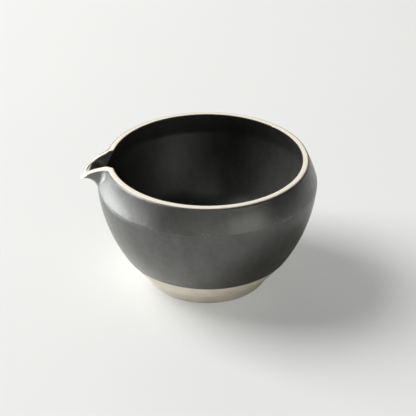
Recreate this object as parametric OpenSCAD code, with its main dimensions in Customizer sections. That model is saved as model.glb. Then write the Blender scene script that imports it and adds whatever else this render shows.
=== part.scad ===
// Katakuchi: a small lipped pouring bowl in stoneware, glazed matt black, with a bare rim and foot.
// Millimetres, +Z up. The origin is the centre of the foot's underside and the spout points along -X.
// The bowl is thrown, its foot ring and its spout are luted on with slip, and the coats of glaze
// lie over the clay.

/* [Bowl] */
// Greatest diameter of the glazed bowl, at the shoulder line
body_d = 132; // [116:1:150]
// Height from the table to the rim
body_h = 80; // [70:1:92]
// Depth of the shoulder line below the rim
shoulder_drop = 15; // [12:0.5:18]
// How far the rim draws in from the shoulder
rim_inset = 6; // [4.5:0.25:7.5]
// Bulge of the wall between the base and the shoulder
wall_bulge = 5; // [3.5:0.25:7]
// Bulge of the band between the shoulder and the rim
band_bulge = 0.4; // [0.2:0.05:0.8]
// Thickness of the clay wall
wall_t = 2.6; // [2.2:0.1:3.8]
// Thickness of the clay floor
floor_t = 4; // [3:0.25:6]
// Radius where the floor turns up into the wall
floor_turn = 30; // [22:1:34]
// Half length of the softening of the shoulder line
shoulder_soft = 1.6; // [0.8:0.2:2.4]
// Rounding of the outer edge of the rim
rim_round = 0.9; // [0.5:0.1:1.4]
// Rounding of the inner edge of the rim
rim_edge = 0.3; // [0.2:0.1:1]

/* [Foot] */
// Outside diameter of the foot ring at its top
foot_d = 80; // [68:1:92]
// Height of the base above the table
foot_h = 8; // [5:0.5:11]
// How far the outside of the ring draws in towards the table
foot_taper = 2.4; // [1:0.2:4]
// Width of the ring at its top
foot_t = 8; // [6:0.5:12]
// How far the hollow of the ring widens towards the table
foot_flare = 0.8; // [0:0.2:1.6]
// Chamfer on the two edges that meet the table
foot_edge = 0.7; // [0.3:0.1:1.2]
// How far the base stands out past the ring
base_ledge = 2.4; // [1.2:0.2:4]
// Softening of the edge of the base
base_soft = 1.4; // [0.6:0.2:2]

/* [Spout] */
// Reach of the tip past the rim
spout_len = 16.1; // [13:0.1:19]
// Outside width of the spout where it leaves the rim
spout_w = 23.2; // [19:0.2:28]
// Even fall of the lip from the rim to the tip
lip_fall = 6.5; // [5.5:0.1:7]
// Extra droop of the lip at the tip
lip_curl = 6.5; // [5.9:0.1:7.1]
// Depth below the rim at which the underside meets the wall
spout_depth = 18.4; // [16:0.2:22]
// Depth below the rim of the crest of the underside
spout_crest = 10.3; // [9.8:0.1:11.2]
// Distance of that crest back from the tip
crest_back = 4.4; // [3:0.2:6]
// Droop of the underside from its crest to the tip
crest_fall = 2.8; // [2.4:0.1:3.6]
// Thickness of the side walls at the rim
spout_wall = 3.2; // [2.6:0.1:4]
// Thickness of the side walls near the tip
spout_tip_wall = 2.8; // [2.2:0.1:3.4]
// Thickness of the floor of the spout
spout_floor = 2.5; // [2:0.1:3.2]
// Widening of each side of the notch for every millimetre towards the bowl
notch_flare = 0.55; // [0.2:0.05:0.8]
// Swelling of the sides where the spout is pressed on to the wall
root_swell = 2; // [1:0.1:3]
// Squareness of the outside of the trough at the wall: 2 is an ellipse, more is squarer
root_power = 4; // [2.4:0.1:5]
// Squareness of the outside of the trough at the tip
tip_power = 2.4; // [2:0.1:3]
// Squareness of the channel: 1 is a V with straight sides, 2 is an ellipse
channel_power = 1.6; // [1.4:0.1:2.2]

/* [Slip and glaze] */
// Thickness of the beds of slip
slip_t = 0.4; // [0.2:0.05:0.6]
// Thickness of the coats of glaze
glaze_t = 0.4; // [0.25:0.05:0.6]
// Height of the lower edge of the outside glaze above the table
glaze_line = 20; // [14:0.5:28]
// Bare clay left between the edge of the rim and the glaze
rim_bare = 0.2; // [0.1:0.1:1.5]
// Bare clay left between the edge of the spout and the glaze
spout_bare = 0.4; // [0.3:0.1:1.2]

/* [Hidden] */
clay = [0.83, 0.78, 0.69];
wet_clay = [0.74, 0.69, 0.60];
black_glaze = [0.10, 0.10, 0.11];
round_fn = 180;

// The corners of the outside of the clay: base edge, shoulder and top of the band
shoulder_r = body_d / 2 - glaze_t;
shoulder_z = body_h - shoulder_drop;
rim_r = body_d / 2 - rim_inset;
base_r = foot_d / 2 + base_ledge;
floor_z = foot_h + floor_t;
rim_lean = atan2(shoulder_r - rim_r, shoulder_drop);
rim_mid = [rim_r - rim_round, body_h - rim_round];
base_pt = [base_r, foot_h];
shoulder_pt = [shoulder_r, shoulder_z];
band_pt = rim_mid + rim_round * [cos(rim_lean), sin(rim_lean)];

// An arc from p up to q that bulges outwards by b: its radius, its centre and its two angles
function bulge_r(p, q, b) = (pow(norm(q - p) / 2, 2) + b * b) / (2 * b);
function bulge_mid(p, q, b) =
    (p + q) / 2 - (bulge_r(p, q, b) - b) * [q.y - p.y, p.x - q.x] / norm(q - p);
function angle_at(c, p) = atan2(p.y - c.y, p.x - c.x);
wall_r = bulge_r(base_pt, shoulder_pt, wall_bulge);
wall_mid = bulge_mid(base_pt, shoulder_pt, wall_bulge);
wall_a0 = angle_at(wall_mid, base_pt);
wall_a1 = angle_at(wall_mid, shoulder_pt);
band_r = bulge_r(shoulder_pt, band_pt, band_bulge);
band_mid = bulge_mid(shoulder_pt, band_pt, band_bulge);
band_a0 = angle_at(band_mid, shoulder_pt);
band_a1 = angle_at(band_mid, band_pt);

// Angles given up at the shoulder and at the base edge, where the line is softened
wall_trim = shoulder_soft / wall_r * 180 / PI;
band_trim = shoulder_soft / band_r * 180 / PI;
base_trim = base_soft / wall_r * 180 / PI;
bare_trim = rim_bare / band_r * 180 / PI;
glaze_a0 = asin((glaze_line - wall_mid.y) / wall_r);

// The turn between the floor and the wall on the inside
inner_r = wall_r - wall_t;
turn_z = floor_z + floor_turn;
turn_mid = [
    wall_mid.x + sqrt(pow(inner_r - floor_turn, 2) - pow(wall_mid.y - turn_z, 2)),
    turn_z
];
turn_a = angle_at(wall_mid, turn_mid);

// Points along an arc, and along a softened corner with its control point m
function arc(c, r, a, b, n) =
    [for (i = [0:n]) c + r * [cos(a + (b - a) * i / n), sin(a + (b - a) * i / n)]];
function corner(p, m, q, n) =
    [for (i = [1:n - 1]) let (t = i / n) (1 - t) * (1 - t) * p + 2 * t * (1 - t) * m + t * t * q];
function on_arc(c, r, a) = c + r * [cos(a), sin(a)];
function back(list) = [for (i = [len(list) - 1:-1:0]) list[i]];

// The shoulder moved outwards by k
shoulder_a = (wall_a1 + band_a0) / 2;
function shoulder_at(k) = shoulder_pt + k / cos((band_a0 - wall_a1) / 2) * [cos(shoulder_a), sin(shoulder_a)];

// From the angle a on the wall up to the angle b on the band, moved outwards by k
function wall_line(k, a, b) = concat(
    arc(wall_mid, wall_r + k, a, wall_a1 - wall_trim, 14),
    corner(
        on_arc(wall_mid, wall_r + k, wall_a1 - wall_trim),
        shoulder_at(k),
        on_arc(band_mid, band_r + k, band_a0 + band_trim),
        5
    ),
    arc(band_mid, band_r + k, band_a0 + band_trim, b, 6)
);

// The outside from the base edge to the top of the rim, moved outwards by k
function outside(k) = concat(
    [[base_r - base_soft, foot_h]],
    corner(
        [base_r - base_soft, foot_h],
        base_pt,
        on_arc(wall_mid, wall_r + k, wall_a0 + base_trim),
        4
    ),
    wall_line(k, wall_a0 + base_trim, band_a1),
    arc(rim_mid, rim_round + k, rim_lean + 8, 90, 5)
);

// The inside from the top of the band down to the middle of the floor, k in from the outside
function inside(k) = concat(
    back(wall_line(-k, turn_a, inner_a1)),
    arc(turn_mid, floor_turn - (k - wall_t), turn_a - 4, -90, 10),
    [[0, floor_z + k - wall_t]]
);

// The inner edge of the rim
inner_a1 = asin((body_h - rim_edge - band_mid.y) / (band_r - wall_t));
inner_top = on_arc(band_mid, band_r - wall_t, inner_a1);
inner_rim_mid = [inner_top.x + rim_edge, body_h - rim_edge];

// The spout is worked out along +X from the axis, then turned to face -X
tip_x = rim_r + spout_len;
root_x = rim_r;
start_x = rim_r - 4.5;
crest_x = tip_x - crest_back;
cove_x = shoulder_r - 1;
lip_x = rim_r - 1.5;
stations = 18;
trough_n = 14;

// How far the cutting blocks run in past the start of the spout and up past the rim
run_past = body_h / 10;

// Half the outside width, half the inside width, and the heights of lip, underside and floor at x
function side_t(x) = spout_wall + (spout_tip_wall - spout_wall) * (x - root_x) / (tip_x - root_x);
function half_out(x) = spout_w / 2 * pow((tip_x - x) / (tip_x - root_x), 0.48);
function flare(x) = notch_flare * min(spout_wall * 2 / 3, max(0, rim_r - x));
function half_in(x) = max(0.3 * half_out(x), half_out(x) - side_t(x)) + flare(x);
function along_lip(x) = max(0, x - lip_x) / (tip_x - lip_x);
function lip_z(x) = body_h - lip_fall * along_lip(x) - lip_curl * pow(along_lip(x), 3.6);
function cove(x, t) = x > crest_x
    ? body_h - spout_crest + t - crest_fall * pow((x - crest_x) / crest_back, 2)
    : body_h - spout_depth + (spout_depth - spout_crest + t)
        * sqrt(max(0, 1 - pow((crest_x - x) / (crest_x - cove_x + t), 2)));
function under_z(x) = min(cove(x, 0), lip_z(x) - 0.25);
function floor_at(x) = min(cove(x, spout_floor), lip_z(x) - 0.02);

// Squareness and swelling of the outside at x
function power_at(x) =
    root_power + (tip_power - root_power) * min(1, max(0, (x - root_x) / (tip_x - root_x)));
function swell_at(x) = root_swell * exp(-pow(3.2 * (x - root_x) / spout_len, 2));

// One U line across the trough: half width w, top z, bottom b, starting s below the top,
// with the squareness p and the swelling k
function u_line(x, w, z, b, s, p, k) =
    let (a0 = s <= 0 ? 0 : asin(pow(min(0.9, s / (z - b)), p / 2)))
    [for (i = [0:trough_n])
        let (
            a = a0 + (180 - 2 * a0) * i / trough_n,
            d = pow(abs(sin(a)), 2 / p)
        )
        [x, sign(cos(a)) * (w * pow(abs(cos(a)), 2 / p) + 4 * k * d * (1 - d)), z - (z - b) * d]];

// The outside line g out from the clay and the channel line g in from it, both starting s below the lip
function out_line(x, g, s) =
    u_line(x, half_out(x) + g, lip_z(x), under_z(x) - g, s, power_at(x), swell_at(x));
function in_line(x, g, s) =
    u_line(x, half_in(x) - g, lip_z(x), floor_at(x) + g, s, channel_power, 0);

// Stations from x a to x b, closer together towards b
function station(a, b, i) = a + (b - a) * (1 - pow(1 - i / stations, 1.5));

// The clay of the spout at x, with both sides of its wall
function wall_ring(x) = concat(out_line(x, 0, 0), back(in_line(x, 0, 0)));

// A solid block that fills a U line and runs up past the rim
function block_ring(line) =
    let (
        x = line[0].x,
        w = line[0].y,
        top = body_h + run_past
    )
    concat([[x, w, top]], line, [[x, -w, top], [x, 0, top]]);

// The coats of glaze at x, each between the clay and its own face
function outer_coat_ring(x) = concat(out_line(x, glaze_t, spout_bare), back(out_line(x, 0, spout_bare)));
function inner_coat_ring(x) = concat(in_line(x, 0, spout_bare), back(in_line(x, glaze_t, spout_bare)));

// Rings of equal length joined into one closed skin
module skin(rings) {
    n = len(rings[0]);
    m = len(rings);
    points = [for (ring = rings) for (p = ring) p];
    sides = [for (j = [0:m - 2]) for (i = [0:n - 1])
        let (a = j * n + i, b = j * n + (i + 1) % n)
        each [[a, b, b + n], [a, b + n, a + n]]];
    e = (m - 1) * n;
    ends = [for (i = [0:n / 2 - 2])
        let (a = i, b = i + 1, c = n - 2 - i, d = n - 1 - i)
        each [[b, a, d], if (c > b) [c, b, d], [e + a, e + b, e + d], if (c > b) [e + b, e + c, e + d]]];
    rotate([0, 0, 180]) polyhedron(points, concat(sides, ends), 4);
}

module spout_clay() {
    skin([for (i = [0:stations]) wall_ring(station(start_x, tip_x - 0.06, i))]);
}

module spout_block() {
    skin([for (i = [0:stations]) block_ring(out_line(station(start_x, tip_x - 0.06, i), 0, 0))]);
}

module channel_block() {
    skin([for (i = [0:stations]) block_ring(in_line(station(start_x - run_past, crest_x, i), 0, 0))]);
}

// Everything inside the outside of the bowl, moved outwards by k
module bowl_filled(k) {
    rotate_extrude($fn = round_fn) polygon(concat(
        [[0, foot_h]],
        outside(k),
        [[rim_mid.x, body_h + run_past], [0, body_h + run_past]]
    ));
}

// The hollow of the bowl, k in from the outside
module bowl_hollow(k) {
    rotate_extrude($fn = round_fn) polygon(concat(
        [[inner_top.x - 0.2, body_h + run_past]],
        inside(k),
        [[0, body_h + run_past]]
    ));
}

// The thrown bowl, with the notch that opens into the spout
module bowl_wall() {
    color(clay) difference() {
        rotate_extrude($fn = round_fn) polygon(concat(
            [[0, foot_h]],
            outside(0),
            arc(inner_rim_mid, rim_edge, 90, 172, 4),
            inside(wall_t)
        ));
        channel_block();
    }
}

// The turned ring that the bowl stands on
module foot_ring() {
    top_z = foot_h - slip_t;
    out_r = foot_d / 2;
    low_r = out_r - foot_taper;
    hollow_r = out_r - foot_t;
    low_hollow = hollow_r + foot_flare;
    color(clay) rotate_extrude($fn = round_fn) polygon([
        [low_hollow + foot_edge, 0],
        [low_r - foot_edge, 0],
        [low_r, foot_edge],
        [out_r, top_z],
        [hollow_r, top_z],
        [low_hollow, foot_edge]
    ]);
}

// The bed of slip between the ring and the base
module foot_slip() {
    color(wet_clay) translate([0, 0, foot_h - slip_t]) difference() {
        cylinder(h = slip_t, d = foot_d, $fn = round_fn);
        translate([0, 0, -1]) cylinder(h = slip_t + 2, r = foot_d / 2 - foot_t, $fn = round_fn);
    }
}

// The beak, an open trough that sits on the wall over the notch
module spout() {
    color(clay) difference() {
        spout_clay();
        bowl_filled(slip_t);
    }
}

// The bed of slip between the spout and the wall
module spout_slip() {
    color(wet_clay) difference() {
        intersection() {
            spout_clay();
            bowl_filled(slip_t);
        }
        bowl_filled(0);
    }
}

// Glaze on the outside of the bowl, from the glaze line up to the bare rim
module outer_glaze() {
    color(black_glaze) difference() {
        rotate_extrude($fn = round_fn) polygon(concat(
            wall_line(glaze_t, glaze_a0, band_a1 - bare_trim),
            back(wall_line(0, glaze_a0, band_a1 - bare_trim))
        ));
        spout_block();
    }
}

// Glaze on the inside of the bowl, from the floor up to the bare rim
module inner_glaze() {
    color(black_glaze) difference() {
        rotate_extrude($fn = round_fn) polygon(concat(
            inside(wall_t),
            back(inside(wall_t + glaze_t))
        ));
        channel_block();
    }
}

// Glaze on the outside of the spout
module spout_outer_glaze() {
    color(black_glaze) difference() {
        skin([for (i = [0:stations]) outer_coat_ring(station(start_x, crest_x + 1, i))]);
        bowl_filled(glaze_t);
    }
}

// Glaze in the channel of the spout, from the inside of the bowl towards the tip
module spout_channel_glaze() {
    color(black_glaze) difference() {
        skin([for (i = [0:stations]) inner_coat_ring(station(start_x - run_past, crest_x - 1, i))]);
        bowl_hollow(wall_t + glaze_t);
    }
}

bowl_wall();
foot_ring();
foot_slip();
spout();
spout_slip();
outer_glaze();
inner_glaze();
spout_outer_glaze();
spout_channel_glaze();
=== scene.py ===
# %% [markdown]
# # A lipped pouring bowl in black-glazed stoneware
# The bowl is thrown on a wheel, its foot ring is turned, and a beak is cut, bent and luted to the wall.
# The potter wipes the rim, the beak's edge and the foot clean, so those stay bare when the rest is glazed.
# This script builds that clay as one surface, lays two coats of glaze on it, and lights it by a high window
# and the walls of a room. All the working is in millimetres and the meshes are written in metres.

import bpy
import numpy as np
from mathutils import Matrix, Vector


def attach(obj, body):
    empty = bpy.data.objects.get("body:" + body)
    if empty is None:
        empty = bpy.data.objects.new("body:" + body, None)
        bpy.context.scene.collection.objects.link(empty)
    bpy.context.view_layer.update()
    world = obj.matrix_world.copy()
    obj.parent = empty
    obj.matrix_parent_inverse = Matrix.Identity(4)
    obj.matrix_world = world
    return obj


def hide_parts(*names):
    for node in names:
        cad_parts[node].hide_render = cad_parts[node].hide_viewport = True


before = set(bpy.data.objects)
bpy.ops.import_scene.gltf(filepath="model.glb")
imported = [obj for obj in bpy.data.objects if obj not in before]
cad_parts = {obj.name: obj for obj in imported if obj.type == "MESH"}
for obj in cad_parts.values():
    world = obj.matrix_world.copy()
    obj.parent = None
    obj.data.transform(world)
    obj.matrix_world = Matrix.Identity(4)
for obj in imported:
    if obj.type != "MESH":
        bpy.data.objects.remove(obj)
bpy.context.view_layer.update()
MM = 0.001
FAR = 999.0
print("frame nodes:", ", ".join(sorted(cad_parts)))

# %% [markdown]
# ## The thrown profile
# The outside is two arcs that meet at the shoulder: a long one for the wall and a short one for the band
# under the rim. The inside is the same pair moved in by the thickness of the wall. Working from the arcs,
# and not from points, keeps the wall even and lets the glaze be the same arcs moved out again.

# %% Arcs of the wall and the band
RIM_Z = 80.0
SHOULDER = np.array([65.53, 65.0])  # radius and height
BASE = np.array([42.4, 8.0])
BAND_TOP = np.array([59.943, 79.415])
WALL_BULGE, BAND_BULGE = 5.0, 0.4
WALL_T = 2.6
GLAZE_T = 0.4
GLAZE_Z = 20.0  # height of the glaze line
FLOOR_Z = 12.0
FLOOR_TURN = 30.0  # radius from the inside wall to the floor
SOFT_OUT, SOFT_IN = 0.25, 0.6
LINE_Z, LINE_DEPTH, LINE_WIDTH = 64.3, 0.17, 0.35


def fading(distance, reach):
    """1 at no distance, fading as exp(-(distance / reach) squared)."""
    return np.exp(-((distance / reach) ** 2))


def bulged_arc(p, q, bulge):
    """Centre and radius of the arc from p to q that stands out from its chord by the bulge.

    The radius is (half the chord squared + the bulge squared) / twice the bulge, and the centre lies on
    the line square to the chord through its middle.
    """
    d = q - p
    chord = np.hypot(*d)
    radius = (chord**2 / 4 + bulge**2) / (2 * bulge)
    return (p + q) / 2 - (radius - bulge) * np.array([d[1], -d[0]]) / chord, radius


def wall_radius(z, out=0.0):
    """Radius of the wall at height z, moved outwards.

    It is the smaller of the two arcs' radii. Where they differ by less than soft, the corner is eased by
    soft / 4 * (1 - difference / soft) squared. The inside is rounded more. The outside has a faint tool line
    under the corner.
    """
    wall = WALL_MID[0] + np.sqrt((WALL_R + out) ** 2 - (z - WALL_MID[1]) ** 2)
    band = BAND_MID[0] + np.sqrt((BAND_R + out) ** 2 - (z - BAND_MID[1]) ** 2)
    soft = SOFT_OUT if out >= 0 else SOFT_IN
    near = np.clip(1 - np.abs(wall - band) / soft, 0, 1)
    line = LINE_DEPTH * fading(z - LINE_Z, LINE_WIDTH) * (out >= 0)
    return np.minimum(wall, band) - soft / 4 * near**2 - line


WALL_MID, WALL_R = bulged_arc(BASE, SHOULDER, WALL_BULGE)
BAND_MID, BAND_R = bulged_arc(SHOULDER, BAND_TOP, BAND_BULGE)
print("wall arc radius %.1f mm, band arc radius %.1f mm" % (WALL_R, BAND_R))

# %% [markdown]
# ## The beak
# The beak is a trough. Outside it is a U that swells where it grows from the wall and loses its squareness
# towards the tip. Inside it is a channel more like a V. Along it the width closes like a nose while the lip
# falls and then droops, and the underside springs from the wall in a hollow curve.

# %% Outline of the beak
TIP_X, ROOT_X, CREST_X, COVE_X, LIP_X = 76.03, 60.0, 71.7, 64.6, 58.5  # all from the bowl's axis
LIP_FALL, LIP_DROOP, DROOP_POWER = 6.5, 6.5, 3.6
COVE_Z, COVE_RISE = RIM_Z - 18.4, 8.1
NOSE_DROP, NOSE_LENGTH = 2.8, 4.4
BEAK_HALF, NOSE_POWER = 11.6, 0.48
SIDE_T, SIDE_THINS, SIDE_LEAST = 3.2, 0.4, 0.3
FLARE, FLARE_LENGTH = 0.55, 2.13
END_ROUND = 2.4


def lip_height(x):
    """Height of the lip: an even fall and a droop that grows with a power of the way to the tip."""
    s = np.clip((x - LIP_X) / (TIP_X - LIP_X), 0, None)
    return RIM_Z - LIP_FALL * s - LIP_DROOP * s**DROOP_POWER


def cove(x, t):
    """Height of the underside raised by t: a quarter ellipse up to the crest, then a parabola down."""
    rise = COVE_RISE + t
    hollow = np.sqrt(np.clip(1 - ((CREST_X - x) / (CREST_X - COVE_X + t)) ** 2, 0, None))
    droop = rise - NOSE_DROP * ((x - CREST_X) / NOSE_LENGTH) ** 2
    return COVE_Z + np.where(x > CREST_X, droop, rise * hollow)


def half_outside(x):
    """Half the outside width: full at the rim, closing with a power of the way left to the tip."""
    return BEAK_HALF * np.clip((TIP_X - x) / (TIP_X - ROOT_X), 0, None) ** NOSE_POWER


def half_inside(x):
    """Half the channel's width: the outside less the wall, flared into the bowl and rounded at its end."""
    side = SIDE_T - SIDE_THINS * (x - ROOT_X) / (TIP_X - ROOT_X)
    flare = FLARE * np.clip(ROOT_X - x, 0, FLARE_LENGTH)
    end = np.clip((x - END_X + END_ROUND) / END_ROUND, 0, 1)
    wide = np.maximum(SIDE_LEAST * half_outside(x), half_outside(x) - side) + flare
    return wide * np.sqrt(1 - end**2)


# %% Lines across the beak
EDGE_OUT, EDGE_IN = 0.9, 0.3  # rounds on the two edges of the rim
EDGE_THINS, EDGE_THINS_IN = 0.5, 4.0
CHANNEL_T = 2.5
CHANNEL_LEAST, BEAK_LEAST = 0.02, 0.25
CHANNEL_POWER, ROOT_POWER, TIP_POWER = 1.6, 4.0, 2.4
SWELL, SWELL_LENGTH = 8.0, 5.0
FIRST_MOST = 0.45


def u_line(x, tau, inside):
    """Sideways place and height at x on the U, with tau 0 under the lip and 1 on the middle line.

    A point of the U has (sideways share)^p + (depth share)^p = 1. Down the side tau moves the depth share
    evenly, and along the bottom it moves the sideways share evenly. The outside is swollen near the root
    by swell * depth share * (1 - depth share).
    """
    top = lip_height(x)
    if inside:
        half, low = half_inside(x), np.minimum(cove(x, CHANNEL_T), top - CHANNEL_LEAST)
        edge, p = EDGE_IN, CHANNEL_POWER
    else:
        half, low = half_outside(x), np.minimum(cove(x, 0), top - BEAK_LEAST)
        edge = EDGE_OUT - EDGE_THINS * np.clip((x - ROOT_X) / EDGE_THINS_IN, 0, 1)
        p = ROOT_POWER - (ROOT_POWER - TIP_POWER) * np.clip((x - ROOT_X) / (TIP_X - ROOT_X), 0, 1)
    depth = top - low
    first = np.minimum(edge / depth, FIRST_MOST)
    knee = 0.5 ** (1 / p)
    down = first + (knee - first) * np.minimum(2 * tau, 1)
    across = knee * np.clip(2 - 2 * tau, 0, 1)
    y = np.where(tau < 0.5, (1 - down**p) ** (1 / p), across)
    z = np.where(tau < 0.5, down, (1 - across**p) ** (1 / p))
    swell = 0 if inside else SWELL * fading(x - ROOT_X, SWELL_LENGTH) * z * (1 - z)
    return half * y + swell, top - depth * z, first * depth


reach = np.linspace(66, TIP_X, 2001)
END_X = reach[np.argmax(cove(reach, CHANNEL_T) > lip_height(reach) - CHANNEL_LEAST)]
print("the channel runs out %.1f mm from the axis, the tip is at %.1f mm" % (END_X, TIP_X))

# %% [markdown]
# ## Where the beak leaves the bowl
# Each line of the U starts inside the bowl and comes out through its wall. The point where it does is found
# on a fine row of stations, for all the lines at once. These points make the seam on which the two surfaces
# share their vertices, so there is no gap and no overlap between them.

# %% The seam
SIDE = np.array([0, 0.006, 0.015, 0.03, 0.05, 0.08, 0.12, 0.17, 0.24, 0.33, 0.44, 0.57, 0.71, 0.86, 1])
TAU = np.concatenate([SIDE / 2, np.linspace(0.5, 1, 15)[1:]])
STATIONS = np.linspace(52, 70, 3601)


def seam(inside):
    """Station, sideways place and height where each line of the U passes the wall of the bowl."""
    x = STATIONS[None, :]
    y, z, _ = u_line(x, TAU[:, None], inside)
    past = np.hypot(x, y) - wall_radius(z, -WALL_T if inside else 0)
    i = np.argmax(past > 0, axis=1)
    k = np.arange(len(TAU))
    share = -past[k, i - 1] / (past[k, i] - past[k, i - 1])
    root = x[0, i - 1] + share * (x[0, i] - x[0, i - 1])
    y, z, _ = u_line(root, TAU, inside)
    return root, y, z


outer_seam = seam(False)
inner_seam = seam(True)
print("outer seam: lip %.1f mm out, lowest point %.1f mm up" % (outer_seam[0][0], outer_seam[2][-1]))
print("inner seam: lip %.1f mm out, lowest point %.1f mm up" % (inner_seam[0][0], inner_seam[2][-1]))

# %% [markdown]
# ## One net of rows and columns
# The whole clay surface is one net. Its columns go round the bowl, out along the far side of the beak to the
# tip and back along the near side. Its rows go from the middle of the base up the outside, over the rim and
# down the inside to the middle of the floor. In rows below the beak its columns shrink to a single point.

# %% Columns
ROUND_N, BEAK_N = 256, 36
CROWDING = 0.6  # how much closer the columns stand beside the beak
even = np.linspace(0, 1, ROUND_N)
ROUND_S = even - CROWDING * np.sin(2 * np.pi * even) / (2 * np.pi)
ANGLE = 2 * np.pi * ROUND_S
out_t = np.arange(1, BEAK_N + 1) / BEAK_N
BEAK_T = np.concatenate([out_t, out_t[-2::-1]])
BEAK_SIDE = np.concatenate([-np.ones(BEAK_N), np.ones(BEAK_N - 1)])
COLS = ROUND_N + len(BEAK_T)


def circle_rows(radius, z):
    """Rows that only go round the bowl, from arrays of radius and height that may vary along the row."""
    radius = np.broadcast_to(radius, (len(z), ROUND_N))
    z = np.broadcast_to(z, (len(z), ROUND_N))
    ring = np.stack([radius * np.cos(ANGLE), radius * np.sin(ANGLE), z], axis=-1)
    return np.concatenate([ring, np.repeat(ring[:, :1], len(BEAK_T), axis=1)], axis=1)


# %% Rows with the beak
FADE_ANGLE = 0.3
FOLLOW = 0.8  # how closely the rows away from the beak keep the spacing of the seam


def beak_rows(inside, top_z):
    """Rows that go round the bowl and along the beak, from the lip down to its middle line.

    Near the seam a row has the seam's height. Away from it the rows spread out between the top and the
    seam's lowest point, and the change fades over the fade angle.
    """
    root, root_y, root_z = (outer_seam, inner_seam)[inside]
    sink = (root_z[0] - root_z) / (root_z[0] - root_z[-1])
    level = top_z - (top_z - root_z[-1]) * (FOLLOW * sink + (1 - FOLLOW) * TAU)
    start = np.arctan2(root_y, root)[:, None]
    turn = (2 * np.pi - 2 * start) * ROUND_S
    fade = fading(np.minimum(turn, turn[:, -1:] - turn), FADE_ANGLE)
    z = level[:, None] + (root_z - level)[:, None] * fade
    radius = wall_radius(z, -WALL_T if inside else 0)
    ring = np.stack([radius * np.cos(start + turn), radius * np.sin(start + turn), z], axis=-1)
    end = END_X if inside else TIP_X
    x = root[:, None] + (end - root[:, None]) * (1 - (1 - BEAK_T) ** 2)
    y, z, edge = u_line(x, TAU[:, None], inside)
    beak = np.stack([x, y * BEAK_SIDE, z], axis=-1)
    edge = np.concatenate([np.full(ROUND_N, EDGE_IN if inside else EDGE_OUT), edge[0]])
    return np.concatenate([ring, beak], axis=1), edge


outer_beak, outer_edge = beak_rows(False, RIM_Z - EDGE_OUT)
inner_beak, inner_edge = beak_rows(True, RIM_Z - EDGE_IN)
print("beak rows %d, columns %d round the bowl and %d along the beak" % (len(TAU), ROUND_N, len(BEAK_T)))

# %% [markdown]
# ## Rows of the outside
# The base is flat with the faint rings of the turning tool. Its edge is eased, and the wall rises from there.
# The rows stand close together at the glaze line, where the edge of the coat will need them, and at the
# shoulder. The glaze line of a dipped bowl is never quite level, so those rows wander by a quarter of a
# millimetre.

# %% Base and its eased edge
BASE_FLAT, WALL_FOOT = 41.0, 9.2  # radius where the base begins to turn up, height where the wall begins
RING_DEPTH, RING_PACE, RING_END = 0.05, 2.4, 32.0
base_r = np.linspace(0, BASE_FLAT, 22)
base_z = BASE[1] + RING_DEPTH * np.sin(base_r * RING_PACE) * (base_r < RING_END)
t = np.linspace(0, 1, 7)[1:-1, None]
base_end = np.array([BASE_FLAT, BASE[1]])
wall_end = np.array([wall_radius(np.array(WALL_FOOT)), WALL_FOOT])
edge_line = (1 - t) ** 2 * base_end + 2 * t * (1 - t) * BASE + t**2 * wall_end
print("base: %d rows, eased edge: %d rows" % (len(base_r), len(edge_line)))

# %% Outside wall
JOIN_GAP = 0.12  # between the beak's lowest row and the next one
WANDER_REACH = 5.0
GLAZE_STEP = np.array([0, 0.05, 0.12, 0.22, 0.36, 0.55, 0.8, 1.2, 1.8, 2.6, 3.6])
bare_z = np.append(np.linspace(WALL_FOOT, GLAZE_Z - 0.6, 12), GLAZE_Z - 0.3)
wall_z = np.concatenate([
    bare_z,
    GLAZE_Z + GLAZE_STEP,
    np.linspace(25.4, 62.6, 26),
    np.linspace(63.4, outer_seam[2][-1] - JOIN_GAP, 13),
])
GLAZE_ROW = len(base_r) + len(edge_line) + len(bare_z)
wander = 0.16 * np.sin(2 * ANGLE + 0.7) + 0.07 * np.sin(5 * ANGLE + 2.1) + 0.04 * np.sin(11 * ANGLE)
wall_zz = wall_z[:, None] + wander * fading(wall_z - GLAZE_Z, WANDER_REACH)[:, None]
outside = np.concatenate([
    circle_rows(base_r[:, None], base_z[:, None]),
    circle_rows(edge_line[:, :1], edge_line[:, 1:]),
    circle_rows(wall_radius(wall_zz), wall_zz),
    outer_beak[::-1],
])
OUT_TOP = len(outside) - 1
OUT_JOIN = OUT_TOP - len(TAU)
print("outside: %d rows, glaze line on row %d" % (len(outside), GLAZE_ROW))

# %% [markdown]
# ## Rows of the rim and the inside
# The rim and the beak's lip are one flat strip with a small round on each edge. It runs from the top row of
# the outside to the top row of the inside. The inside wall turns into the floor on a large arc.

# %% Rim strip
OUTER_SHARE, INNER_SHARE = 0.3, 0.2  # the most of the strip's width that each round may take
outer_top, inner_top = outer_beak[0], inner_beak[0]
across = inner_top[:, :2] - outer_top[:, :2]
width = np.hypot(across[:, 0], across[:, 1])
across = across / width[:, None]
outer_lip, inner_lip = outer_top[:, 2] + outer_edge, inner_top[:, 2] + inner_edge
outer_turn = np.minimum(outer_edge, OUTER_SHARE * width)
inner_turn = np.minimum(inner_edge, INNER_SHARE * width)
phi = np.radians([15, 30, 45, 60, 75, 90])[:, None]
flat = np.linspace(0, 1, 6)[1:-1, None]
go = np.concatenate([
    outer_turn * (1 - np.cos(phi)),
    outer_turn + flat * (width - outer_turn - inner_turn),
    width - inner_turn * (1 - np.cos(phi[::-1])),
])
rise = np.concatenate([
    outer_lip - outer_edge * (1 - np.sin(phi)),
    outer_lip + flat * (inner_lip - outer_lip),
    inner_lip - inner_edge * (1 - np.sin(phi[::-1])),
])
rim = np.concatenate([outer_top[None, :, :2] + go[..., None] * across, rise[..., None]], axis=-1)
print("bare rim %.1f mm wide, lip %.1f mm wide at the tip" % (width[ROUND_N // 2], width.max()))

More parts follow.
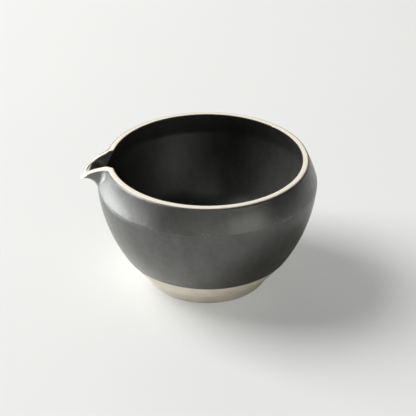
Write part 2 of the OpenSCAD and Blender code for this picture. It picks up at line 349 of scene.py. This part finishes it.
# %% Inside wall and floor
turn_gap = WALL_R - WALL_T - FLOOR_TURN
turn_z = FLOOR_Z + FLOOR_TURN
turn_x = WALL_MID[0] + np.sqrt(turn_gap**2 - (WALL_MID[1] - turn_z) ** 2)
turn_a = np.arctan2(turn_z - WALL_MID[1], turn_x - WALL_MID[0])
turn_top = WALL_MID[1] + (WALL_R - WALL_T) * np.sin(turn_a)
inner_z = np.concatenate([
    np.linspace(inner_seam[2][-1] - JOIN_GAP, 62.4, 10),
    np.linspace(61, turn_top, 24),
])
a = np.linspace(turn_a, -np.pi / 2, 22)[1:, None]
floor_r = turn_x * np.linspace(1, 0, 16)[1:, None]
inside = np.concatenate([
    inner_beak,
    circle_rows(wall_radius(inner_z, -WALL_T)[:, None], inner_z[:, None]),
    circle_rows(turn_x + FLOOR_TURN * np.cos(a), turn_z + FLOOR_TURN * np.sin(a)),
    circle_rows(floor_r, np.full((len(floor_r), 1), FLOOR_Z)),
])
IN_TOP = len(outside) + len(rim)
IN_JOIN = IN_TOP + len(TAU) - 1
print("inside: %d rows, the floor turns up %.1f mm from the axis" % (len(inside), turn_x))

# %% [markdown]
# ## Welding the net
# The rows are put together and turned so that the beak points along -X. Points that fall together become one
# vertex, and faces that lost a corner become triangles.

# %% Weld
net = np.concatenate([outside, rim, inside])
net[..., :2] *= -1
ROWS = len(net)


def net_faces(row, col, next_row, next_col, wide):
    """Four corner numbers for each face of a net that is wide columns wide."""
    corners = [row * wide + col, row * wide + next_col, next_row * wide + next_col, next_row * wide + col]
    return np.stack(corners, axis=-1)


def weld(points, corners):
    """Vertices without doubles, and the corners numbered anew."""
    _, first, number = np.unique(np.round(points, 4), axis=0, return_index=True, return_inverse=True)
    return points[first], number.reshape(-1)[corners], first


row, col = np.mgrid[0 : ROWS - 1, 0:COLS]
quads = net_faces(row, col, row + 1, (col + 1) % COLS, COLS)
in_beak = col >= ROUND_N - 1
skipped = in_beak & ((row <= OUT_JOIN) | (row >= IN_JOIN))
quads, face_row, face_col = quads[~skipped], row[~skipped], col[~skipped]
points, faces, first = weld(net.reshape(-1, 3), quads)
print("clay: %d vertices, %d faces" % (len(points), len(faces)))

# %% [markdown]
# ## Smoothing the seam
# The seam of the beak is smoothed the way a wet sponge does it: each point near the seam moves towards the
# middle of its neighbours, a little at a time. Outside the sponge is wide and works long. Inside and at the
# tip it only takes the sharpness off.

# %% Sponge
OUTER_SPONGE, INNER_SPONGE, TIP_SPONGE = 3.2, 0.8, 1.2
OUTER_PULL, INNER_PULL = 0.5, 0.4
OUTER_ROUNDS, INNER_ROUNDS = 50, 6
TIP = np.array([-TIP_X, 0, 67.5])


def edges_of(faces):
    """Every edge of every face as a pair of vertex numbers, without the edges that shrank to a point."""
    pairs = np.stack([faces, np.roll(faces, -1, axis=1)], axis=-1).reshape(-1, 2)
    return pairs[pairs[:, 0] != pairs[:, 1]]


def relax(points, faces, weight, rounds):
    """Each round moves a point by its weight towards the mean of its neighbours."""
    pairs = edges_of(faces)
    a, b = np.concatenate([pairs, pairs[:, ::-1]]).T
    count = np.bincount(a, minlength=len(points))
    for _ in range(rounds):
        mean = np.stack([np.bincount(a, points[b, k], len(points)) / count for k in range(3)], axis=1)
        points = points + weight[:, None] * (mean - points)
    return points


def distance_to(line):
    """Distance of every point from the nearest of the line's points, on either side of the beak."""
    line = np.stack(line, axis=1)
    both = np.concatenate([line * [-1, 1, 1], line * [-1, -1, 1]])
    return np.min(np.linalg.norm(points[:, None, :] - both[None], axis=-1), axis=1)


vert_row = first // COLS
outer_way = np.where(vert_row < len(outside) + len(rim) // 2, distance_to(outer_seam), FAR)
inner_way = np.where(vert_row >= len(outside), distance_to(inner_seam), FAR)
tip_way = np.linalg.norm(points - TIP, axis=1)
fine = INNER_PULL * (fading(inner_way, INNER_SPONGE) + fading(tip_way, TIP_SPONGE))
rough_points = points
points = relax(points, faces, OUTER_PULL * fading(outer_way, OUTER_SPONGE), OUTER_ROUNDS)
points = relax(points, faces, fine, INNER_ROUNDS)
print("the sponge moved the clay by %.2f mm at most" % np.linalg.norm(points - rough_points, axis=1).max())

# %% [markdown]
# ## From arrays to pieces
# A mesh takes its vertices, corners and face sizes as flat arrays. A piece rides on the one body of the part
# and stands for the CAD nodes that it dresses.

# %% Make a piece
def make_piece(name, points, faces, slot, nodes, **values):
    """A smooth mesh from points in mm and four-cornered faces, some of which have shrunk to triangles."""
    keep = faces != np.roll(faces, 1, axis=1)
    size = keep.sum(axis=1)
    keep &= (size >= 3)[:, None]
    size = size[size >= 3]
    mesh = bpy.data.meshes.new(name)
    mesh.vertices.add(len(points))
    mesh.vertices.foreach_set("co", (points * MM).astype(np.float32).ravel())
    mesh.loops.add(int(size.sum()))
    mesh.loops.foreach_set("vertex_index", faces[keep].astype(np.int32))
    mesh.polygons.add(len(size))
    mesh.polygons.foreach_set("loop_start", (np.cumsum(size) - size).astype(np.int32))
    mesh.polygons.foreach_set("use_smooth", np.ones(len(size), dtype=bool))
    for key, value in values.items():
        mesh.attributes.new(key, "FLOAT", "POINT").data.foreach_set("value", value.astype(np.float32))
    mesh.update(calc_edges=True)
    bad = mesh.validate()
    piece = bpy.data.objects.new(name, mesh)
    bpy.context.scene.collection.objects.link(piece)
    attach(piece, "root")
    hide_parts(*nodes)
    print("%s: %d vertices, %d faces, repaired: %s" % (name, len(points), len(size), bad))
    return piece


# %% [markdown]
# ## The clay
# The clay piece is the whole net: bowl, beak and the smoothed seam between them.

# %% Clay body
clay_body = make_piece("clay_body", points, faces, "bare_clay", ["bowl_wall", "spout", "spout_slip"])

# %% [markdown]
# ## The foot ring
# The ring is turned from the same clay. Its profile is drawn as a closed line and swept round the axis. The
# outside leans in towards the table, and the tool has left fine rings on it.

# %% Profile of the foot
FOOT_CORNERS = [[32.8, 0], [37.6, 0], [40, 7.95], [32, 7.95]]
FOOT_CUTS = [0.9, 1.0, 0.3, 0.3]
FOOT_MID = 36.0  # radius between the inside and the outside of the ring
GROOVE, GROOVE_PACE, GROOVE_FADE = 0.035, 5.2, 1.5


def eased(corners, cut, count):
    """A closed line through the corners with each one rounded off from cut before it to cut after it."""
    here = np.array(corners, dtype=float)
    before, after = np.roll(here, 1, axis=0) - here, np.roll(here, -1, axis=0) - here
    cut = np.array(cut)[:, None]
    p = here + cut * before / np.linalg.norm(before, axis=1, keepdims=True)
    q = here + cut * after / np.linalg.norm(after, axis=1, keepdims=True)
    t = np.linspace(0, 1, count)[None, :, None]
    curve = (1 - t) ** 2 * p[:, None] + 2 * t * (1 - t) * here[:, None] + t**2 * q[:, None]
    return curve.reshape(-1, 2)


def divided(line, count):
    """The closed line with count even steps between each point and the next."""
    t = np.arange(count)[None, :, None] / count
    return (line[:, None] * (1 - t) + np.roll(line, -1, axis=0)[:, None] * t).reshape(-1, 2)


profile = divided(eased(FOOT_CORNERS, FOOT_CUTS, 6), 4)
grooves = GROOVE * (np.sin(profile[:, 1] * GROOVE_PACE) - 1) * np.clip(profile[:, 1] / GROOVE_FADE, 0, 1)
profile[:, 0] += np.where(profile[:, 0] > FOOT_MID, grooves, -grooves)
print("foot: %d points in the profile, %.1f mm across" % (len(profile), 2 * profile[:, 0].max()))

# %% Foot ring
turn = np.linspace(0, 2 * np.pi, 240, endpoint=False)
foot = np.stack([
    profile[:, :1] * np.cos(turn),
    profile[:, :1] * np.sin(turn),
    np.repeat(profile[:, 1:], len(turn), axis=1),
], axis=-1)
i, j = np.mgrid[0 : len(profile), 0 : len(turn)]
foot_faces = net_faces(i, j, (i + 1) % len(profile), (j + 1) % len(turn), len(turn))
foot_ring = make_piece(
    "turned_foot", foot.reshape(-1, 3), foot_faces.reshape(-1, 4), "bare_clay", ["foot_ring", "foot_slip"]
)

# %% [markdown]
# ## The two coats of glaze
# A coat is the clay's own surface moved out along its normals. Its thickness rises from nothing at the edge
# like a quarter of an ellipse, with a low bead behind it where the wet glaze drew back. The distance from the
# edge is measured along the net's rows and columns, and kept as a value on the piece for the material.

# %% Distances along the net
def walked(grid, axis):
    """Distance walked along the net from its first row or column to each point."""
    step = np.linalg.norm(np.diff(grid, axis=axis), axis=-1)
    pad = [(1, 0), (0, 0)] if axis == 0 else [(0, 0), (1, 0)]
    return np.pad(np.cumsum(step, axis=axis), pad)


down = walked(net, 0)
along = walked(net, 1)
BEAK_END = ROUND_N + len(BEAK_T) - 1


def coat_edge(low_row, top_row, last):
    """Distance in mm from every net point to the nearest edge of a coat between two rows.

    On the beak the coat also ends at the column that is last steps out from the seam, on both sides. The
    last row of the net is the middle of the floor, where the coat goes on and has no edge.
    """
    past = FAR if top_row == ROWS - 1 else 0
    d = np.minimum(down - down[low_row], down[top_row] - down + past)
    out, back = ROUND_N + last, BEAK_END - last
    here = np.arange(COLS)
    going_out = here <= ROUND_N + BEAK_N - 1
    side = np.where(going_out, along[:, out : out + 1] - along, along - along[:, back : back + 1])
    return np.minimum(d, np.where(here < ROUND_N, FAR, side))


print("the net is %.0f mm long from base to floor" % down[-1, 0])

# %% Make a coat
EDGE_RISE = 0.7  # the coat is full this far from its edge
BEAD, BEAD_WAY, BEAD_WIDTH = 0.1, 1.0, 0.6
LEAST_T, UNDER_T = 0.02, 0.01
RIDGE_WIDTH = 1.2


def normals_of(points, faces):
    """Vertex normals: the faces' cross products of their diagonals, added up at the corners."""
    cross = np.cross(points[faces[:, 2]] - points[faces[:, 0]], points[faces[:, 3]] - points[faces[:, 1]])
    total = np.stack([
        np.bincount(faces.reshape(-1), np.repeat(cross[:, k], 4), len(points)) for k in range(3)
    ], axis=1)
    return total / np.linalg.norm(total, axis=1, keepdims=True)


def make_coat(name, low_row, top_row, last, ridge_z, nodes):
    """A closed coat over the net's faces between two rows, ending on the beak at the column last.

    The value edge is the distance from the coat's edge. The value ridge is 1 at the height ridge_z and
    fades within about a millimetre.
    """
    chosen = (face_row >= low_row) & (face_row < top_row)
    inner_cols = (face_col < ROUND_N + last) | (face_col >= BEAK_END - last)
    used, top = np.unique(faces[chosen & inner_cols], return_inverse=True)
    top = top.reshape(-1, 4)
    d = np.clip(coat_edge(low_row, top_row, last).reshape(-1)[first[used]], 0, None)
    full = np.sqrt(1 - (1 - np.clip(d / EDGE_RISE, 0, 1)) ** 2)
    thick = GLAZE_T * full * (1 - BEAD + BEAD * fading(d - BEAD_WAY, BEAD_WIDTH)) + LEAST_T
    up = points[used] + normals[used] * thick[:, None]
    under = points[used] + normals[used] * UNDER_T
    pairs = edges_of(top)
    n = len(used)
    key = np.sort(pairs, axis=1) @ np.array([n, 1])
    _, where, count = np.unique(key, return_index=True, return_counts=True)
    p, q = pairs[where[count == 1]].T
    walls = np.stack([q, p, p + n, q + n], axis=1)
    every = np.concatenate([top, top[:, ::-1] + n, walls])
    ridge = fading(points[used, 2] - ridge_z, RIDGE_WIDTH)
    both = np.concatenate([up, under])
    return make_piece(name, both, every, "black_glaze", nodes, edge=np.tile(d, 2), ridge=np.tile(ridge, 2))


normals = normals_of(points, faces)
print("a full coat is %.2f mm thick" % (GLAZE_T + LEAST_T))

# %% Outer and inner coat
OUT_LAST, IN_LAST = 17, 20  # columns out along the beak
OUT_EDGE, IN_EDGE = OUT_TOP + 3, IN_TOP - 3  # rows on the two rounds of the rim
RIDGE_Z, NO_RIDGE = SHOULDER[1] + 1.0, RIM_Z + 20
outer_coat = make_coat(
    "outer_coat", GLAZE_ROW, OUT_EDGE, OUT_LAST, RIDGE_Z, ["outer_glaze", "spout_outer_glaze"]
)
inner_coat = make_coat(
    "inner_coat", IN_EDGE, ROWS - 1, IN_LAST, NO_RIDGE, ["inner_glaze", "spout_channel_glaze"]
)

# %% [markdown]
# ## Materials
# Two fired surfaces carry the whole look: the satin black glaze and the bare stoneware. Both are made of
# shader nodes that work from the place of a point on the piece, so no picture is needed.

# %% Node helpers
class Nodes:
    """A small wrapper that adds shader nodes and links their sockets in one line."""

    def __init__(self, name):
        self.material = bpy.data.materials.new(name)
        self.material.use_nodes = True
        self.tree = self.material.node_tree
        self.shader = self.tree.nodes["Principled BSDF"]
        self.place = self.add("ShaderNodeTexCoord").outputs["Object"]

    def add(self, kind, **settings):
        """A new node of a kind, with its settings."""
        node = self.tree.nodes.new(kind)
        for key, value in settings.items():
            setattr(node, key, value)
        return node

    def put(self, socket, value):
        """A link into the socket from another one, or else a plain value on it."""
        if isinstance(value, bpy.types.NodeSocket):
            self.tree.links.new(value, socket)
        else:
            socket.default_value = value

    def noise(self, size_mm, detail=2.0, rough=0.5, place=None):
        """Noise whose lumps are about size_mm across, from 0 to 1."""
        node = self.add("ShaderNodeTexNoise")
        self.put(node.inputs["Vector"], self.place if place is None else place)
        node.inputs["Scale"].default_value = 1 / (size_mm * MM)
        node.inputs["Detail"].default_value = detail
        node.inputs["Roughness"].default_value = rough
        return node.outputs["Fac"]

    def value(self, name):
        """A value that was kept on the points of the piece."""
        return self.add("ShaderNodeAttribute", attribute_name=name).outputs["Fac"]

    def maths(self, kind, a, b):
        """One step of arithmetic on two values."""
        node = self.add("ShaderNodeMath", operation=kind)
        self.put(node.inputs[0], a)
        self.put(node.inputs[1], b)
        return node.outputs[0]

    def span(self, value, low, high, to_low=0.0, to_high=1.0):
        """The value mapped smoothly from low..high to to_low..to_high, and held outside."""
        node = self.add("ShaderNodeMapRange", interpolation_type="SMOOTHSTEP")
        for socket, given in zip(node.inputs[:5], (value, low, high, to_low, to_high)):
            self.put(socket, given)
        return node.outputs[0]

    def mix(self, share, a, b):
        """Colour a with a share of colour b."""
        node = self.add("ShaderNodeMix", data_type="RGBA")
        self.put(node.inputs[0], share)
        self.put(node.inputs[6], a)
        self.put(node.inputs[7], b)
        return node.outputs[2]

    def tint(self, where, most, a, b):
        """Colour a with up to the most of colour b, where the value where is 1."""
        return self.mix(self.maths("MULTIPLY", where, most), a, b)

    def bump(self, height, depth_mm, before=None):
        """A normal that is tilted by a height of depth_mm, after another bump or alone."""
        node = self.add("ShaderNodeBump")
        node.inputs["Distance"].default_value = depth_mm * MM
        self.put(node.inputs["Height"], height)
        if before is not None:
            self.put(node.inputs["Normal"], before)
        return node.outputs[0]


# %% [markdown]
# ## Satin black glaze
# The glaze is almost neutral and clouded where it ran thicker or thinner. The clouds are noise drawn out
# downwards, as glaze runs. The edge distance that was kept on the coats drives the brown of the thin edge.
# Along the shoulder, where the corner of the clay comes close to the surface, pale flecks are partly wear and
# partly a painted highlight on the corner's edge.

# %% Colour of the glaze
DARK, PALE = (0.034, 0.035, 0.032, 1), (0.047, 0.048, 0.043, 1)
FLECK, WORN_AND_GLINT, THIN = (0.13, 0.13, 0.125, 1), (0.24, 0.235, 0.225, 1), (0.16, 0.10, 0.06, 1)
g = Nodes("satin_black_glaze")
run = g.add("ShaderNodeMapping")
run.inputs["Scale"].default_value = (1, 1, 0.45)
g.put(run.inputs["Vector"], g.place)
cloud = g.noise(9, detail=4, rough=0.6, place=run.outputs[0])
smudge = g.noise(2.6, detail=3, rough=0.65)
grain = g.noise(0.55, rough=0.6)
tone = g.maths("ADD", g.maths("MULTIPLY", cloud, 0.6), g.maths("MULTIPLY", smudge, 0.4))
colour = g.mix(g.span(tone, 0.36, 0.66), DARK, PALE)
colour = g.tint(g.span(grain, 0.66, 0.74), 0.3, colour, FLECK)
# Pale flecks along the shoulder: partly wear, partly a painted highlight on the corner's edge.
fleck_spots = g.span(g.noise(1.1, detail=3, rough=0.6), 0.52, 0.66)
patches = g.span(g.noise(14), 0.42, 0.58)
worn_and_glint = g.maths("MULTIPLY", g.maths("MULTIPLY", g.value("ridge"), fleck_spots), patches)
colour = g.tint(worn_and_glint, 0.7, colour, WORN_AND_GLINT)
colour = g.mix(g.span(g.value("edge"), 0.05, 0.5, 0.75, 0), colour, THIN)
g.put(g.shader.inputs["Base Color"], colour)
print("glaze colour:", len(g.tree.nodes), "nodes")

# %% [markdown]
# The sheen has two layers: the glass itself, which mirrors strongly, and over it a softer film that is
# thicker where the clouds are pale. A fine skin and a grain break both of them up.

# %% Sheen of the glaze
GLASS_IOR, FILM_IOR, FILM_ROUGH = 1.74, 1.5, 0.34
rough = g.maths("ADD", g.maths("MULTIPLY", tone, 0.12), 0.275)
g.put(g.shader.inputs["Roughness"], g.maths("ADD", rough, g.maths("MULTIPLY", grain, 0.05)))
skin = g.bump(g.noise(1.6), 0.07)
g.put(g.shader.inputs["Normal"], g.bump(grain, 0.03, skin))
g.shader.inputs["IOR"].default_value = GLASS_IOR
g.put(g.shader.inputs["Coat Weight"], g.span(tone, 0.38, 0.62, 0.36, 0.64))
g.shader.inputs["Coat Roughness"].default_value = FILM_ROUGH
g.shader.inputs["Coat IOR"].default_value = FILM_IOR
outer_coat.data.materials.append(g.material)
inner_coat.data.materials.append(g.material)
print("glaze:", len(g.tree.nodes), "nodes")

# %% [markdown]
# ## Bare stoneware
# The body is a warm cream. The turning rings follow the height on the wall, as a fine wave along Z that noise
# breaks up. The sand shows as grains that are a little darker or lighter than the body. Use leaves the rim a
# little greyer than the foot. The tip of the beak is painted darker still, a painted shade that tones down
# the window light falling full on it.

# %% Stoneware
CREAM, LIGHT_CREAM = (0.755, 0.705, 0.595, 1), (0.815, 0.765, 0.66, 1)
DARK_SAND, LIGHT_SAND = (0.50, 0.43, 0.33, 1), (0.88, 0.84, 0.75, 1)
RING_TONE, USED, TIP_PAINTED_SHADE = (0.60, 0.54, 0.43, 1), (0.60, 0.565, 0.495, 1), (0.47, 0.44, 0.385, 1)
c = Nodes("bare_stoneware")
sand = c.noise(0.45, rough=0.7)
body = c.noise(7, detail=3, rough=0.55)
rings = c.add("ShaderNodeTexWave", wave_type="BANDS", bands_direction="Z", wave_profile="SIN")
c.put(rings.inputs["Vector"], c.place)
for key, value in (("Scale", 260), ("Distortion", 1.2), ("Detail", 2), ("Detail Scale", 0.6)):
    rings.inputs[key].default_value = value
split = c.add("ShaderNodeSeparateXYZ")
c.put(split.inputs[0], c.place)
colour = c.mix(c.span(body, 0.3, 0.7), CREAM, LIGHT_CREAM)
colour = c.tint(c.span(sand, 0.60, 0.72), 0.45, colour, DARK_SAND)
colour = c.tint(c.span(sand, 0.40, 0.30), 0.35, colour, LIGHT_SAND)
colour = c.tint(rings.outputs["Fac"], 0.12, colour, RING_TONE)
colour = c.tint(c.span(split.outputs["Z"], 66 * MM, 72 * MM), 0.62, colour, USED)
# Painted shade: the tip of the beak is darker, to tone down the window light that falls full on it.
colour = c.tint(c.span(split.outputs["X"], -66 * MM, -73 * MM), 0.7, colour, TIP_PAINTED_SHADE)
c.put(c.shader.inputs["Base Color"], colour)
c.put(c.shader.inputs["Roughness"], c.span(sand, 0.3, 0.7, 0.72, 0.86))
turned = c.bump(rings.outputs["Fac"], 0.03)
c.put(c.shader.inputs["Normal"], c.bump(sand, 0.05, turned))
clay_body.data.materials.append(c.material)
foot_ring.data.materials.append(c.material)
print("stoneware:", len(c.tree.nodes), "nodes")

# %% [markdown]
# ## Table
# The bowl stands on a plain pale table. For the camera alone a third of the table's tone is an even pale
# grey, which keeps the ground pale without more light on the bowl.

# %% Table
TABLE_HALF = 4.0
TABLE_DARK, TABLE_PALE = (0.618, 0.620, 0.610, 1), (0.638, 0.640, 0.630, 1)
GROUND, GROUND_SHARE = (0.89, 0.90, 0.88, 1), 0.33
mesh = bpy.data.meshes.new("table")
corners = [(x * TABLE_HALF, y * TABLE_HALF, 0) for x, y in ((-1, -1), (1, -1), (1, 1), (-1, 1))]
mesh.from_pydata(corners, [], [(0, 1, 2, 3)])
table = bpy.data.objects.new("table", mesh)
bpy.context.scene.collection.objects.link(table)
top = Nodes("pale_table")
top.put(top.shader.inputs["Base Color"], top.mix(top.noise(120), TABLE_DARK, TABLE_PALE))
top.shader.inputs["Roughness"].default_value = 0.85
top.shader.inputs["Specular IOR Level"].default_value = 0.2
glow = top.add("ShaderNodeEmission")
glow.inputs["Color"].default_value = GROUND
seen = top.add("ShaderNodeLightPath").outputs["Is Camera Ray"]
lift = top.add("ShaderNodeMixShader")
top.put(lift.inputs[0], top.maths("MULTIPLY", seen, GROUND_SHARE))
top.put(lift.inputs[1], top.shader.outputs[0])
top.put(lift.inputs[2], glow.outputs[0])
top.put(top.tree.nodes["Material Output"].inputs["Surface"], lift.outputs[0])
mesh.materials.append(top.material)
print("table: %.0f m wide" % (2 * TABLE_HALF))

# %% [markdown]
# ## Window and room
# A high window on the left, a little behind the bowl, casts the soft shadow to the right. The walls of the
# room and a low strip of sky give the quiet tones on the band, the wall and the inside. Two lamps make small
# pools of light on the table at the left, outside the picture. The band mirrors them towards the viewer,
# which makes the bright sheen beside the beak.

# %% Lamps
SKY, DAY, ROOM = (0.97, 0.985, 1.0), (0.985, 0.99, 0.98), (1.0, 0.99, 0.92)
MIDDLE, BAND = (0, 0, 0.05), (0, 0, 0.06)  # places on the bowl that the lamps face
POOL_SPREAD = 0.8
ROOM_TONE, ROOM_STRENGTH = (1.0, 0.995, 0.98, 1), 0.01


def lamp(name, place, target, size, power, colour, spread=np.pi):
    """A rectangular area light at place that faces the target.

    Places and sizes are in metres, the power is in watts and the spread in radians.
    """
    data = bpy.data.lights.new(name, "AREA")
    data.shape = "RECTANGLE"
    data.size, data.size_y = size
    data.energy = power
    data.spread = spread
    data.color = colour
    item = bpy.data.objects.new(name, data)
    bpy.context.scene.collection.objects.link(item)
    item.location = place
    item.rotation_euler = (Vector(target) - Vector(place)).to_track_quat("-Z", "Y").to_euler()
    return item


lamps = [
    lamp("window", (-2.33, 0.82, 2.3), MIDDLE, (2.2, 2.2), 220, DAY),
    lamp("back_wall", (-0.4, 2.6, 2.0), MIDDLE, (2.4, 1.6), 16, ROOM),
    lamp("right_wall", (1.95, -2.75, 0.34), BAND, (2.2, 0.6), 14.5, ROOM),
    lamp("front_wall", (0, -2.9, 1.70), BAND, (1.8, 1.0), 4.0, ROOM),
    lamp("front_high", (-0.2, -1.96, 2.76), MIDDLE, (1.6, 1.2), 0.9, ROOM),
    lamp("front_low", (-0.2, -3.3, 0.44), BAND, (2.0, 0.7), 5.0, ROOM),
    lamp("left_low", (-2.9, -0.78, 0.06), BAND, (1.6, 0.2), 11, SKY),
    lamp("far_pool", (-0.55, 0.05, 0.30), (-0.55, 0.05, 0), (0.25, 0.25), 6.3, SKY, POOL_SPREAD),
    lamp("near_pool", (-0.36, 0.12, 0.25), (-0.36, 0.12, 0), (0.2, 0.3), 1.9, SKY, POOL_SPREAD),
]
world = bpy.data.worlds.new("room")
bpy.context.scene.world = world
world.use_nodes = True
room = world.node_tree.nodes["Background"]
room.inputs["Color"].default_value = ROOM_TONE
room.inputs["Strength"].default_value = ROOM_STRENGTH
print("lamps:", ", ".join("%s %.1f W" % (item.name, item.data.energy) for item in lamps))

# %% [markdown]
# ## Camera
# The view is from about 31 degrees above the table with a long lens, turned 2.6 degrees so that the beak
# comes a little towards the viewer.

# %% Camera
LOOK = Vector((0.0389, 0.8570, -0.5138)).normalized()
AIM, SHIFT, DISTANCE = Vector((0, 0, 0.0445)), 0.0004, 0.731
LENS, SENSOR = 103.85, 36
right = LOOK.cross(Vector((0, 0, 1))).normalized()
data = bpy.data.cameras.new("camera")
data.lens = LENS
data.sensor_width = SENSOR
camera = bpy.data.objects.new("camera", data)
bpy.context.scene.collection.objects.link(camera)
camera.location = AIM + SHIFT * right - DISTANCE * LOOK
camera.rotation_euler = LOOK.to_track_quat("-Z", "Y").to_euler()
bpy.context.scene.camera = camera
bpy.context.scene.view_settings.view_transform = "Standard"
print("camera: %.1f degrees down, turned %.1f" % (
    np.degrees(np.arcsin(-LOOK.z)), np.degrees(np.arctan2(LOOK.x, LOOK.y))
))
